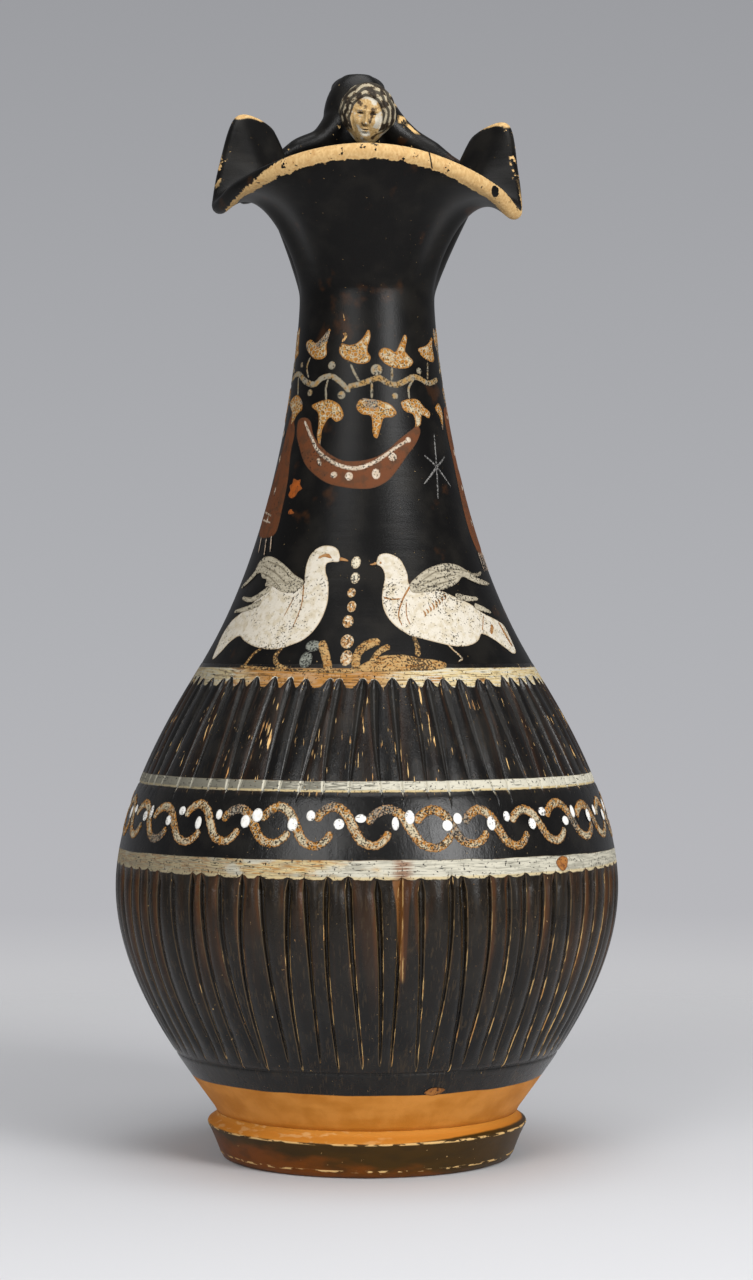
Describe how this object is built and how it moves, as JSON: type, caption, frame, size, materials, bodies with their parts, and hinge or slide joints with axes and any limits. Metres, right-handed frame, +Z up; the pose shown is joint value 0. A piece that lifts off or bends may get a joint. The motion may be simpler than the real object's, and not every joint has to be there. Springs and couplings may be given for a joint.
{
  "type": "trefoil oinochoe",
  "caption": "Ribbed black-glazed clay wine jug with a pinched trefoil mouth, ring foot, tall strap handle, a small moulded head at the rim and painted bands, doves and vine",
  "frame": {"origin": "middle of the ring foot's resting plane, on the turning axis of the jug", "axes": "+Z up along the turning axis, -Y towards the pouring lip, +Y towards the handle, +X to the right as seen from the front"},
  "size_m": [0.1146, 0.1146, 0.2538],
  "materials": {
    "foot": "satin",
    "body": "gloss",
    "neck": "gloss",
    "handle": "gloss",
    "rim_arms": "gloss",
    "head": "matte"
  },
  "bodies": {
    "root": {"foot": "foot", "body": "body", "neck_and_mouth": "neck", "handle": "handle", "rim_arm_left": "rim_arms", "rim_arm_right": "rim_arms", "head": "head"}
  },
  "joints": []
}
